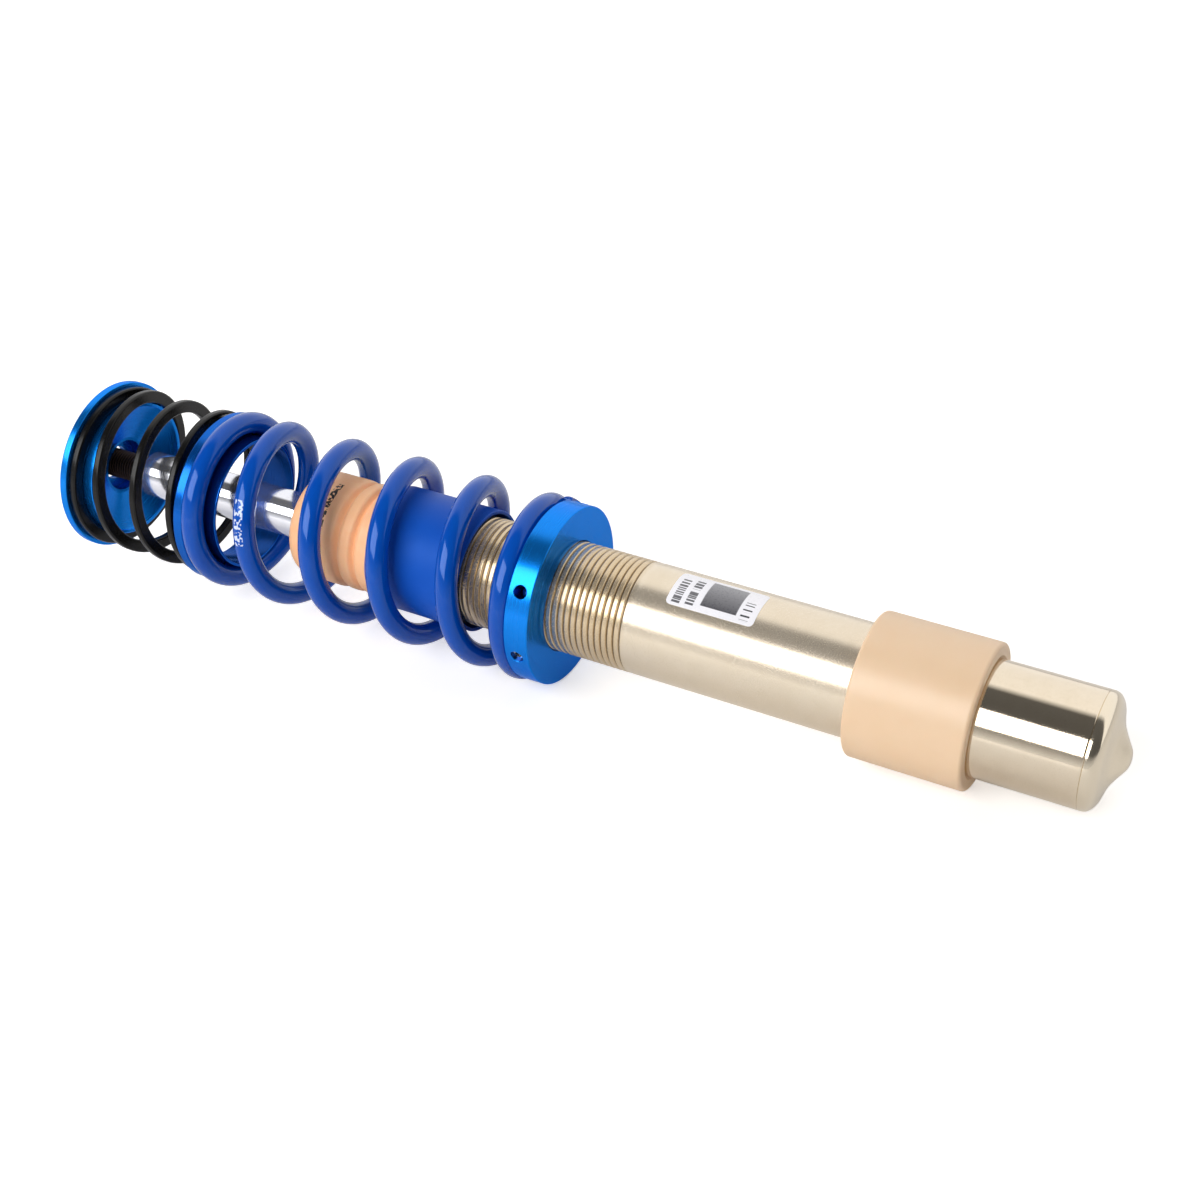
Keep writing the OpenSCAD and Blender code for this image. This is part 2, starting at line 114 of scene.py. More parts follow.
LABEL_ANGLES = (75.0, 123.0)
PILOT_R = COIL_R - WIRE_R - 0.6
HELPER_PILOT_R = 33.1


# ---------------------------------------------------------------- mesh making

def grid_faces(rows, columns, close):
    """Quads between neighbouring points of a rows by columns grid; close joins the last row to the first."""
    row = np.arange(rows if close else rows - 1)[:, None]
    column = np.arange(columns - 1)
    here = row * columns + column
    there = (row + 1) % rows * columns + column
    return np.stack([here, here + 1, there + 1, there], axis=2).reshape(-1, 4)


def put_grid(name, grid, body, close=False, crease=32.0, marks=None, uv=None):
    """A mesh through a grid of points in millimetres: seams and poles merge and faces point outwards."""
    rows, columns = grid.shape[:2]
    mesh = bpy.data.meshes.new(name)
    faces = grid_faces(rows, columns, close)
    mesh.from_pydata((grid.reshape(-1, 3) * MM).tolist(), [], faces.tolist())
    for label, values in (marks or {}).items():
        layer = mesh.attributes.new(label, "FLOAT", "POINT")
        layer.data.foreach_set("value", values.ravel().astype(np.float32))
    if uv is not None:
        layer = mesh.uv_layers.new(name="UVMap")
        layer.data.foreach_set("uv", uv.reshape(-1, 2)[faces.ravel()].astype(np.float32).ravel())
    weld(mesh)
    return add_piece(name, mesh, body, crease)


def weld(mesh):
    """Merges doubled points, drops faces without area and turns every face outwards."""
    shape = bmesh.new()
    shape.from_mesh(mesh)
    bmesh.ops.remove_doubles(shape, verts=shape.verts, dist=2e-6)
    bmesh.ops.dissolve_degenerate(shape, edges=shape.edges, dist=1e-6)
    bmesh.ops.recalc_face_normals(shape, faces=shape.faces)
    shape.to_mesh(mesh)
    shape.free()


def add_piece(name, mesh, body, crease):
    """Puts a mesh in the scene, shaded smooth up to the crease angle, and lets it ride on its body."""
    mesh.polygons.foreach_set("use_smooth", np.ones(len(mesh.polygons), bool))
    mesh.set_sharp_from_angle(angle=math.radians(crease))
    piece = bpy.data.objects.new(name, mesh)
    bpy.context.scene.collection.objects.link(piece)
    if body is not None:
        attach(piece, body)
    return piece


def around(outline, segments):
    """Grid of a turned body: every [x, r] of the outline goes round the axis as (x, r cos a, r sin a)."""
    angle = np.linspace(0, TURN, segments + 1)
    x, radius = np.asarray(outline, float).T
    return np.stack(
        [x[:, None] + 0 * angle, radius[:, None] * np.cos(angle), radius[:, None] * np.sin(angle)], axis=2
    )


def turned(name, outline, body, segments=192, crease=32.0):
    """A turned body from a closed outline of [x, r] points."""
    return put_grid(name, around(outline, segments), body, close=True, crease=crease)


def rounded(corners, steps=5, hold=0.25):
    """Closed outline through [x, r, fillet] corners: each corner becomes an arc of that radius touching both
    sides, with one point held a little before and after it so that flat faces stay flat when shaded."""
    corners = np.asarray(corners, float)
    points = corners[:, :2]
    out = []
    neighbours = zip(points, np.roll(points, 1, 0), np.roll(points, -1, 0), corners[:, 2])
    for here, before, after, fillet in neighbours:
        if fillet <= 0:
            out.append(here[None])
            continue
        back = (before - here) / np.linalg.norm(before - here)
        ahead = (after - here) / np.linalg.norm(after - here)
        half = math.acos(np.clip(back @ ahead, -1, 1)) / 2
        reach = fillet / math.tan(half)
        middle = (back + ahead) / np.linalg.norm(back + ahead)
        centre = here + middle * fillet / math.sin(half)
        t = np.linspace(-1, 1, steps + 1)[:, None] * (math.pi / 2 - half)
        side = ahead - middle * (ahead @ middle)
        side = side / np.linalg.norm(side)
        arc = centre + fillet * (-middle * np.cos(t) + side * np.sin(t))
        out += [here + back * (reach + hold * fillet) * np.ones((1, 1)), arc]
        out.append((here + ahead * (reach + hold * fillet))[None])
    return np.vstack([np.atleast_2d(part) for part in out])


def flowing(corners, steps=6):
    """Open curve through every [x, r] corner: the Catmull-Rom cubic with steps points a stretch."""
    p = np.asarray(corners, float)
    p = np.vstack([2 * p[0] - p[1], p, 2 * p[-1] - p[-2]])
    t = (np.arange(steps) / steps)[None, :, None]
    a, b, c, d = (p[i:len(p) - 3 + i, None] for i in range(4))
    curve = b + t / 2 * (c - a + t * (2 * a - 5 * b + 4 * c - d + t * (3 * (b - c) + d - a)))
    return np.vstack([curve.reshape(-1, 2), p[-2]])


def ease(value):
    """Smooth step from 0 to 1."""
    value = np.clip(value, 0, 1)
    return value * value * (3 - 2 * value)


# ---------------------------------------------------------------- springs

def ramp(turn, start, full):
    """Share of the pitch change passed at a turn: it starts at start and is complete at full."""
    bend = (turn - start) ** 2 / (2 * (full - start))
    return np.where(turn < start, 0, np.where(turn < full, bend, turn - (start + full) / 2))


def coil_place(turn, turns, x0, x1, closed, a, b, c, d):
    """Axial place of each turn of a coil: the closed pitch near its two ends and the open pitch between.
    The pitch opens from turn a to turn b, and closes from d to c turns before the end."""
    ends = (a + b) / 2 + (c + d) / 2
    open_pitch = (x1 - x0 - closed * ends) / (turns - ends)
    low = x0 + closed * turn + (open_pitch - closed) * ramp(turn, a, b)
    high = x1 - closed * (turns - turn) - (open_pitch - closed) * ramp(turns - turn, c, d)
    return np.where(turn < turns / 2, low, high)


def coil(name, section, radius, turns, start, per_turn, place, low, high, tip=1.2):
    """A wire of the given [radial, axial] section carried round the axis, clamped flat at its two seats.
    The last tip millimetres of both wire ends are domed and closed to a point."""
    dome = np.linspace(0, math.pi / 2, 5)
    tip_turn = tip / (TURN * radius) * (1 - np.cos(dome))
    rings = math.ceil(turns * per_turn)
    run = np.arange(1, rings) / rings * turns
    turn = np.concatenate([[0], tip_turn, run, (turns - tip_turn)[::-1], [turns]])
    reach = np.abs(section).max()
    shrink = 1 - tip / reach * (1 - np.sin(dome))
    scale = np.concatenate([[0], shrink, np.ones(len(run)), shrink[::-1], [0]])
    angle = math.radians(start) + TURN * turn
    x = np.clip(place(turn)[:, None] + scale[:, None] * section[:, 1], low, high)
    out = radius + scale[:, None] * section[:, 0]
    grid = np.stack([x, out * np.cos(angle)[:, None], out * np.sin(angle)[:, None]], axis=2)
    along = np.repeat(turn[:, None], len(section), axis=1)
    return put_grid(name, grid, None, crease=50.0, marks={"turn": along})


def round_wire(sides):
    """Round wire section of radius WIRE_R, closed onto its first point."""
    t = np.linspace(0, TURN, sides + 1)
    return np.stack([WIRE_R * np.cos(t), WIRE_R * np.sin(t)], axis=1)


def flat_wire(width, thickness, corner):
    """Flat wire section: a rectangle whose corners are arcs, closed onto its first point."""
    w, t = width / 2, thickness / 2
    section = rounded([[w, -t, corner], [w, t, corner], [-w, t, corner], [-w, -t, corner]], steps=5, hold=0.3)
    return np.vstack([section, section[:1]])


def main_spring():
    """The main spring: round wire, both ends closed and ground."""
    def place(turn):
        return coil_place(turn, COIL_TURNS, SPRING_TOP + 1.5, SPRING_LOW - 1.7, 2.5, 0.62, 1.18, 0.55, 1.35)

    piece = coil(
        "coil_spring", round_wire(32), COIL_R, COIL_TURNS, COIL_START, 96, place, SPRING_TOP, SPRING_LOW
    )
    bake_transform(piece)
    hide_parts("main_spring")
    return piece


def helper_spring():
    """The helper spring: flat wire, both ends closed."""
    inset = HELPER_THICK / 2 + 0.1

    def place(turn):
        return coil_place(
            turn, HELPER_TURNS, HELPER_TOP + inset, HELPER_LOW - inset, 0.3, 0.5, 0.95, 0.45, 0.95
        )

    section = flat_wire(HELPER_WIDTH, HELPER_THICK, 0.95)
    piece = coil(
        "flat_helper_spring", section, HELPER_R, HELPER_TURNS, HELPER_START, 112, place, HELPER_TOP,
        HELPER_LOW, tip=0.5,
    )
    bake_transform(piece)
    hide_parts("helper_spring")
    return piece


# ---------------------------------------------------------------- threads, tube and rod

def threaded_rows(x_from, x_to, pitch, samples, segments):
    """Rows of a screw thread's grid. Each row climbs one pitch per turn, so rows follow the thread, and its
    points are clamped between the two ends, where they fall onto a flat ring."""
    angle = np.linspace(0, TURN, segments + 1)
    count = math.ceil((x_to - x_from) / pitch + 1) * samples
    row = np.arange(-samples, count + 1)[:, None] / samples
    x = np.clip(x_from + pitch * (row + angle / TURN), x_from, x_to)
    return x, angle


def groove(x, angle, pitch, x_from, width=0.5):
    """How deep, 0 to 1, a rounded groove is at (x, angle); width is the share of the pitch it takes."""
    phase = np.mod((x - x_from) / pitch - angle / TURN, 1)
    return 1 - ease(np.abs(phase - 0.5) * 2 / width) ** 0.85


def strut_tube():
    """The damper tube: rolled right-hand thread that fades out above the plain part, and an open bore."""
    segments = 144
    x, angle = threaded_rows(TUBE_TOP + 0.8, THREAD_END + 4, THREAD_PITCH, 16, segments)
    depth = groove(x, angle, THREAD_PITCH, TUBE_TOP)
    fade = 1 - ease((x - THREAD_END + 1.0 - 0.6 * THREAD_PITCH * angle / TURN) / 2.6)
    radius = TUBE_R - THREAD_DEPTH * depth * fade - 0.12 * (1 - fade) * ease((THREAD_END + 4 - x) / 2)
    rows = np.stack([x, radius * np.cos(angle), radius * np.sin(angle)], axis=2)
    plain = around([[x, TUBE_R] for x in (THREAD_END + 5, -60, 0, TUBE_LOW - 0.7, TUBE_LOW - 0.3)], segments)
    bore = TUBE_R - TUBE_WALL
    inside = around(
        [[TUBE_LOW, TUBE_R - 0.25], [TUBE_LOW, bore], [TUBE_TOP + 0.4, bore], [TUBE_TOP, bore + 0.4],
         [TUBE_TOP, TUBE_R - 1.6], [TUBE_TOP + 0.05, TUBE_R - 1.4]],
        segments,
    )
    grid = np.concatenate([rows, plain, inside])
    mark = np.concatenate([depth * fade, np.zeros(plain.shape[:2]), np.zeros(inside.shape[:2])])
    piece = put_grid(
        "threaded_strut_tube", grid, "strut_body", close=True, crease=40.0, marks={"groove": mark}
    )
    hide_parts("strut_tube")
    return piece


def end_cap():
    """The pressed tube end: rounded rim, a slightly hollowed shoulder and a rounded nub in the middle."""
    rim = TUBE_LOW + 4.5
    height = CAP_TIP - rim
    face = flowing([
        [rim - 3, TUBE_R], [rim - 1.5, TUBE_R - 0.4], [rim - 0.3, TUBE_R - 1.2], [rim + 0.7, TUBE_R - 2.4],
        [rim + 1.5, TUBE_R - 3.8], [rim + 2.1, 19.5], [rim + 2.6, 17.5], [rim + 0.33 * height, 15],
        [rim + 0.42 * height, 12.5], [rim + 0.53 * height, 10.5], [rim + 0.63 * height, 8.8],
        [rim + 0.72 * height, 7.4], [rim + 0.82 * height, 5.9], [rim + 0.92 * height, 4.2],
        [rim + 0.98 * height, 2.3], [CAP_TIP, 0],
    ])
    bore = TUBE_R - TUBE_WALL
    body = np.array([
        [rim - 5, 0], [rim - 7, 12], [CAP_INSIDE + 4, 14], [CAP_INSIDE + 4, 17.6], [CAP_INSIDE, 17.6],
        [CAP_INSIDE, bore], [TUBE_LOW, bore], [TUBE_LOW, TUBE_R - 0.3], [TUBE_LOW + 0.3, TUBE_R],
        [TUBE_LOW + 0.7, TUBE_R],
    ])
    piece = turned("pressed_end_cap", np.vstack([body, face]), "strut_body")
    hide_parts("tube_end_cap")
    return piece


def piston_rod():
    """The piston rod: ground bar with a shoulder and a right-hand fine thread on its upper stud. The hexagon
    socket's radius is half the width across flats over the cosine of the angle from a flat."""
    segments = 96
    shoulder = STUD_TOP + STUD_LEN
    x, angle = threaded_rows(STUD_TOP + 1.0, shoulder - 1.5, STUD_PITCH, 10, segments)
    depth = groove(x, angle, STUD_PITCH, STUD_TOP, 0.8)
    fade = 1 - ease((x - shoulder + 3.5) / 2)
    radius = STUD_R - 0.75 * depth * fade
    stud = np.stack([x, radius * np.cos(angle), radius * np.sin(angle)], axis=2)
    step = 58.0
    bar = rounded([
        [shoulder, STUD_R - 0.9, 0], [shoulder, ROD_R, 1.1], [ROD_END - step, ROD_R, 0.5],
        [ROD_END - step, 6.0, 0], [ROD_END, 6.0, 0.8], [ROD_END, 0, 0],
    ], steps=6)
    bar = np.vstack([[[shoulder - 1.2, STUD_R - 0.7]], bar])
    socket = STUD_TOP + SOCKET_DEPTH
    top = np.array([[socket, 0], [socket, 1.0], [STUD_TOP + 0.5, 1.0], [STUD_TOP, 3.9],
                    [STUD_TOP, STUD_R - 1.3], [STUD_TOP + 0.9, STUD_R - 0.8]])
    end = around(top, segments)
    end[1:3, :, 1:] *= (SOCKET_FLAT / np.cos(np.mod(angle, TURN / 6) - TURN / 12))[:, None]
    grid = np.concatenate([end, stud, around(bar, segments)])
    dark = np.zeros(grid.shape[:2])
    dark[:len(top) + len(stud) + 1] = 1
    cuts = np.zeros(grid.shape[:2])
    cuts[len(top):len(top) + len(stud)] = depth * fade
    marks = {"stud": dark, "groove": cuts}
    piece = put_grid("chromed_piston_rod", grid, "rod", close=True, crease=40.0, marks=marks)
    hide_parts("piston_rod")
    return piece


# ---------------------------------------------------------------- turned parts

def knuckle_sleeve():
    """The plastic sleeve that fills the knuckle: rounded outer edges and a chamfered bore."""
    outline = rounded([
        [SLEEVE_TOP, TUBE_R + 1.2, 0.3], [SLEEVE_TOP, SLEEVE_R, 1.6], [SLEEVE_LOW, SLEEVE_R, 1.6],
        [SLEEVE_LOW, TUBE_R + 1.2, 0.3], [SLEEVE_LOW - 1.2, TUBE_R, 0.2], [SLEEVE_TOP + 1.2, TUBE_R, 0.2],
    ], steps=8)
    piece = turned("knuckle_fit_sleeve", outline, "strut_body")
    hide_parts("knuckle_sleeve")
    return piece


def drill(name, depth, radius, place, angle):
    """A drill's shape, pointed and with a small countersink at the surface. It stands along +Y at the place
    on the axis and is then turned about X by the angle in degrees."""
    r = np.array([0, radius, radius, radius + 0.35, radius + 0.35, 0])
    z = PERCH_R + np.array([-depth - 0.6 * radius, -depth, -0.3, 0.05, 3, 3])
    turn = np.linspace(0, TURN, 49)
    side, across = r[:, None] * np.cos(turn), r[:, None] * np.sin(turn)
    c, s = math.cos(math.radians(angle)), math.sin(math.radians(angle))
    z = z[:, None] + 0 * turn
    return put_grid(name, np.stack([place + side, z * c - across * s, z * s + across * c], axis=2), None)


def cut(piece, cutters):
    """Cuts the cutters out of the piece and removes them."""
    for cutter in cutters:
        step = piece.modifiers.new("cut", "BOOLEAN")
        step.solver = "EXACT"
        step.object = cutter
    view = bpy.context.evaluated_depsgraph_get()
    shape = bpy.data.meshes.new_from_object(piece.evaluated_get(view))
    piece.modifiers.clear()
    piece.data = shape
    for cutter in cutters:
        bpy.data.objects.remove(cutter)


def spring_perch():
    """The threaded spring perch: a ring with four drilled spanner holes and one hole for its clamp screw."""
    seat = SPRING_LOW
    middle = (seat + PERCH_LOW) / 2
    bore = TUBE_R + 0.2
    outline = rounded([
        [PERCH_COLLAR_X, bore, 0.2], [PERCH_COLLAR_X, PILOT_R, 0.8], [seat, PILOT_R, 0.25],
        [seat, PERCH_R, 0.55], [PERCH_LOW, PERCH_R, 0.55], [PERCH_LOW, bore + 0.4, 0.1],
        [PERCH_LOW - 0.4, bore, 0.1],
    ], steps=5)
    mesh_piece = turned("threaded_spring_perch", outline, None, segments=256)
    holes = [drill(f"pin{i}", PIN_DEPTH, PIN_R, middle, PIN_ANGLE + 90 * i) for i in range(4)]
    holes.append(drill("tapped", PERCH_R - TUBE_R + 2, PIN_R, middle, PIN_ANGLE + 45))
    cut(mesh_piece, holes)
    shape = mesh_piece.data
    shape.polygons.foreach_set("use_smooth", np.ones(len(shape.polygons), bool))
    shape.set_sharp_from_angle(angle=math.radians(28))
    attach(mesh_piece, "perch")
    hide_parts("spring_perch")
    return mesh_piece


def spring_coupler():
    """The ring between the two springs: a flange with a collar into each spring."""
    flange = HELPER_LOW
    seat = SPRING_TOP
    outline = rounded([
        [COUPLER_LIP, COUPLER_BORE, 0.3], [COUPLER_LIP, HELPER_PILOT_R, 0.5], [flange, HELPER_PILOT_R, 0.2],
        [flange, COUPLER_R, 0.6], [seat, COUPLER_R, 0.6], [seat, PILOT_R, 0.3], [COUPLER_END, PILOT_R, 0.4],
        [COUPLER_END, COUPLER_BORE, 0.3],
    ], steps=5)
    piece = turned("spring_coupler_ring", outline, "coupler", segments=256)
    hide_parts("spring_coupler")
    return piece


def upper_plate():
    """The upper spring plate: a flange, a hub on top and a dished boss below. The dish deepens with the share
    of the way in to the power 0.9, and the recess in its floor takes the rod shoulder."""
    face = HELPER_TOP
    back = face - PLATE_FLANGE
    rim = HELPER_PILOT_R - 1.9
    floor = face + 1.3
    floor_r = 14.0
    recess = floor - RECESS_DEPTH
    lip = PLATE_BOSS - 0.3
    r = np.linspace(rim, floor_r, 24)
    share = (rim - r) / (rim - floor_r)
    dish = np.stack([lip - (lip - floor) * share ** 0.9, r, 0 * r], axis=1)
    outline = rounded(np.vstack([
        [[PLATE_TOP, PLATE_BORE, 0.5], [PLATE_TOP, PLATE_HUB_R, 0.6], [back, PLATE_HUB_R, 0.5],
         [back, PLATE_R, 0.6], [face, PLATE_R, 0.6], [face, HELPER_PILOT_R, 0.25],
         [PLATE_BOSS, HELPER_PILOT_R, 0.5], [PLATE_BOSS, rim + 0.2, 0.1]],
        dish,
        [[floor, RECESS_R, 0.15], [recess, RECESS_R, 0.15], [recess, PLATE_BORE, 0.3]],
    ]), steps=8)
    piece = turned("dished_upper_plate", outline, "upper_plate", segments=256, crease=16.0)
    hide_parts("upper_spring_plate")
    return piece


def bump_stop():
    """The foam bump stop: a quarter-ellipse crown, a straight barrel, then two rings between rounded grooves.
    Each groove is a bell curve taken off the radius."""
    bore = ROD_R + 0.3
    x = np.linspace(BUMP_TOP + 8, DUST_TOP, 90)
    run = x - BUMP_TOP
    radius = BUMP_R - 0.25 * ease((run - 22) / 3)
    for groove_place in (26.5, 35.5):
        radius -= 2.5 * np.exp(-(((run - groove_place) / 1.35) ** 2))
    body = np.stack([x, radius], axis=1)
    t = np.linspace(0, math.pi / 2, 12)[:-1]
    crown = np.stack([BUMP_TOP + 7.5 * (1 - np.cos(t)), BUMP_R - 3.4 * (1 - np.sin(t))], axis=1)
    inside = np.array([
        [DUST_TOP, BUMP_NECK], [DUST_TOP + 4, BUMP_NECK], [DUST_TOP + 4, TUBE_R - 2.2],
        [BUMP_FOOT, TUBE_R - 2.2], [BUMP_FOOT, bore], [BUMP_TOP + 1.2, bore], [BUMP_TOP + 0.4, bore + 0.3],
        [BUMP_TOP, bore + 1.2],
    ])
    piece = turned("foam_bump_stop", np.vstack([crown, body, inside]), "bump", crease=45.0)
    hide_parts("bump_stop")
    return piece


def dust_sleeve():
    """The moulded dust sleeve: a thin tube with a soft shoulder that clips round the bump stop."""
    inside = DUST_R - DUST_WALL
    outline = rounded([
        [DUST_TOP, BUMP_NECK, 0.4], [DUST_TOP, DUST_R, 2.4], [DUST_LOW, DUST_R, 0.5], [DUST_LOW, inside, 0.5],
        [DUST_TOP + 4, inside, 0.8], [DUST_TOP + 4, BUMP_NECK, 0.4],
    ], steps=7)
    piece = turned("moulded_dust_sleeve", outline, "bump", crease=45.0)
    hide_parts("dust_sleeve")
    return piece


def type_label():
    """The foil label: a rounded rectangle bent onto the tube. Its rings are the edge shrunk to the middle,
    out along the top face and back along the face on the tube."""
    low, high = np.radians(LABEL_ANGLES)
    half_x = (LABEL_LOW - LABEL_TOP) / 2
    half_s = (high - low) / 2 * TUBE_R
    edge = rounded([[a * half_x, b * half_s, 2.2] for a, b in ((-1, -1), (1, -1), (1, 1), (-1, 1))], steps=6)
    t = np.linspace(0, 1, 24)[:-1, None]
    edge = np.vstack([(1 - t) * a + t * b for a, b in zip(edge, np.roll(edge, -1, 0))])
    edge = np.vstack([edge, edge[:1]])
    ring = np.array([0, 0.2, 0.4, 0.6, 0.8, 0.97, 1, 1, 0.97, 0.6, 0.3, 0])[:, None]
    lift = np.array([0.12, 0.12, 0.12, 0.12, 0.12, 0.12, 0.10, 0.0, 0, 0, 0, 0])[:, None]
    x, s = ring * edge[:, 0], ring * edge[:, 1]
    angle = (low + high) / 2 + s / TUBE_R
    radius = TUBE_R + 0.01 + lift
    middle = (LABEL_TOP + LABEL_LOW) / 2
    grid = np.stack([middle + x, radius * np.cos(angle), radius * np.sin(angle)], axis=2)
    uv = np.stack([x / half_x / 2 + 0.5, s / half_s / 2 + 0.5], axis=2)
    piece = put_grid("foil_label", grid, "strut_body", crease=50.0, uv=uv)
    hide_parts("type_label")
    return piece


# ---------------------------------------------------------------- finishes

class Finish:
    """One material: constants sit on the shader's own sockets, and patterns are linked to them."""

    def __init__(self, name, colour, rough, metallic=0.0, **sockets):
        self.material = bpy.data.materials.new(name)
        self.material.use_nodes = True
        self.tree = self.material.node_tree
        self.shader = self.tree.nodes["Principled BSDF"]
        self.colour = (*colour, 1)
        self.rough = rough
        self.put("Base Color", self.colour)
        self.put("Roughness", rough)
        self.put("Metallic", metallic)
        for socket, value in sockets.items():
            self.put(socket.replace("_", " "), value)
        self.place = self.node("ShaderNodeTexCoord").outputs["Object"]
        self.tint = None

    def put(self, socket, value):
        self.shader.inputs[socket].default_value = value

    def node(self, kind, **settings):
        made = self.tree.nodes.new(kind)
        for setting, value in settings.items():
            setattr(made, setting, value)
        return made

    def link(self, source, target):
        self.tree.links.new(source, target)

    def math(self, operation, a, b=0.0, c=0.0):
        made = self.node("ShaderNodeMath", operation=operation)
        for socket, value in zip(made.inputs, (a, b, c)):
            self.fill(socket, value)
        return made.outputs[0]

    def fill(self, socket, value):
        if isinstance(value, bpy.types.NodeSocket):
            self.link(value, socket)
        else:
            socket.default_value = value

    def spread(self, value, low, high, to_low=0.0, to_high=1.0):
        """value taken from low..high to to_low..to_high, clamped."""
        made = self.node("ShaderNodeMapRange")
        sockets = ("Value", "From Min", "From Max", "To Min", "To Max")
        for socket, number in zip(sockets, (value, low, high, to_low, to_high)):
            self.fill(made.inputs[socket], number)
        return made.outputs[0]

    def noise(self, cell, detail=3.0, where=None, stretch=(1, 1, 1), rough=0.55):
        """Cloud noise whose cells are about cell millimetres wide, stretched along the axes."""
        shift = self.node("ShaderNodeMapping")
        shift.inputs["Scale"].default_value = stretch
        self.link(where or self.place, shift.inputs["Vector"])
        made = self.node("ShaderNodeTexNoise")
        made.inputs["Scale"].default_value = 1 / (cell * MM)
        made.inputs["Detail"].default_value = detail
        made.inputs["Roughness"].default_value = rough
        self.link(shift.outputs[0], made.inputs["Vector"])
        return made.outputs[0]

    def axes(self):
        """x, radius and angle share about the strut axis of the shaded point."""
        split = self.node("ShaderNodeSeparateXYZ")
        self.link(self.place, split.inputs[0])
        x, y, z = split.outputs
        square = self.math("ADD", self.math("MULTIPLY", y, y), self.math("MULTIPLY", z, z))
        radius = self.math("SQRT", square)
        return x, radius, self.math("DIVIDE", self.math("ARCTAN2", z, y), TURN)

    def lathe_marks(self, cell):
        """Fine rings left by turning: noise that changes with x and radius and hardly round the axis."""
        x, radius, angle = self.axes()
        join = self.node("ShaderNodeCombineXYZ")
        for socket, value in zip(join.inputs, (x, radius, self.math("MULTIPLY", angle, 4 * MM))):
            self.link(value, socket)
        return self.noise(cell, 2.0, join.outputs[0])

    def mark(self, name):
        """A number that the piece's own points carry."""
        return self.node("ShaderNodeAttribute", attribute_name=name).outputs["Fac"]

    def blend_colour(self, amount, colour):
        """Lays another colour over the base colour by amount."""
        mix = self.node("ShaderNodeMix", data_type="RGBA")
        self.fill(mix.inputs[0], amount)
        self.fill(mix.inputs[6], self.tint if self.tint is not None else self.colour)
        self.fill(mix.inputs[7], (*colour, 1))
        self.tint = mix.outputs[2]
        self.link(self.tint, self.shader.inputs["Base Color"])

    def roughen(self, value):
        self.link(value, self.shader.inputs["Roughness"])

    def bump(self, height, distance, strength=1.0):
        """Relief of distance millimetres, added on top of any relief already there."""
        made = self.node("ShaderNodeBump")
        made.inputs["Strength"].default_value = strength
        made.inputs["Distance"].default_value = distance * MM
        self.link(height, made.inputs["Height"])
        normal = self.shader.inputs["Normal"]
        if normal.is_linked:
            self.link(normal.links[0].from_socket, made.inputs["Normal"])
        self.link(made.outputs[0], normal)

    def window(self, value, low, high, soft):
        """1 between low and high, falling to 0 over soft on both sides."""
        rise = self.spread(value, low - soft, low)
        return self.math("MULTIPLY", rise, self.spread(value, high, high + soft, 1.0, 0.0))


def powder_coat():
    """Royal blue gloss powder coat: faint orange peel, cloudy tone and a short row of pale print."""
    f = Finish("royal_blue_powder_coat", (0.0, 0.070, 0.42), 0.12, Coat_Weight=0.35, Coat_Roughness=0.03,
               IOR=1.5, Specular_IOR_Level=0.5, Specular_Tint=(0.2, 0.45, 1.0, 1))
    f.blend_colour(f.spread(f.noise(9.0), 0.35, 0.75, 0.0, 0.5), (0.0, 0.055, 0.40))
    f.roughen(f.spread(f.noise(1.2, 4.0), 0.3, 0.75, 0.10, 0.17))
    f.bump(f.noise(1.5, 2.0), 0.010, 0.5)
    side = f.axes()[1]
    place = f.window(f.mark("turn"), 1.66, 1.74, 0.001)
    strip = f.window(side, (COIL_R + 4.6) * MM, (COIL_R + WIRE_R + 0.2) * MM, 0.1 * MM)
    strokes = f.spread(f.noise(1.4, 0.0), 0.51, 0.54)
    f.blend_colour(f.math("MULTIPLY", f.math("MULTIPLY", place, strokes), strip), (0.62, 0.68, 0.84))
    return f.material


def anodised(name, colour):
    """Blue anodised aluminium: very fine turning rings, and painted shade that darkens the drilled holes, the
    bores, the recess wall and the coupler's inner collar.
    """
    light, deep = (tuple(share * c for c in colour) for share in (1.12, 0.8))
    f = Finish(name, colour, 0.24, 0.88, Specular_Tint=(0.3, 0.6, 1.0, 1),
               Coat_Weight=0.15, Coat_Roughness=0.08)
    rings = f.lathe_marks(0.30)
    f.blend_colour(f.spread(rings, 0.3, 0.7, 0.0, 0.25), light)
    f.blend_colour(f.spread(f.noise(16.0), 0.4, 0.8, 0.0, 0.35), deep)
    x, radius, _ = f.axes()
    # Painted shade: dark navy laid on the perch's drilled holes and bore, the plate's recess wall and bore,
    # and the coupler's inner collar, where shade falls.
    painted_hole_shade = f.math("MULTIPLY", f.window(x, (SPRING_LOW + 0.8) * MM, (PERCH_LOW - 0.8) * MM, 0.1 * MM),
                   f.spread(radius, (PERCH_R - 0.5) * MM, (PERCH_R - 0.4) * MM, 1.0, 0.0))
    recess = f.window(radius, (RECESS_R - 0.3) * MM, (RECESS_R + 0.2) * MM, 0.05 * MM)
    bore = f.spread(radius, (PLATE_BORE + 0.1) * MM, (PLATE_BORE + 0.3) * MM, 1.0, 0.0)
    painted_wall_shade = f.math("MAXIMUM", painted_hole_shade, f.math("MAXIMUM", recess, bore))
    collar = f.math("MULTIPLY", f.window(x, (COUPLER_LIP + 0.5) * MM, (COUPLER_END - 0.4) * MM, 0.1 * MM),
                    f.spread(radius, (COUPLER_BORE + 1.4) * MM, (COUPLER_BORE + 1.5) * MM, 0.8, 0.0))
    # Painted shade: the dark navy is mixed in by the shade masks above.
    f.blend_colour(f.math("MAXIMUM", painted_wall_shade, collar), (0.003, 0.045, 0.24))
    f.roughen(f.spread(rings, 0.2, 0.8, 0.21, 0.29))
    f.bump(rings, 0.0012, 0.3)
    return f.material


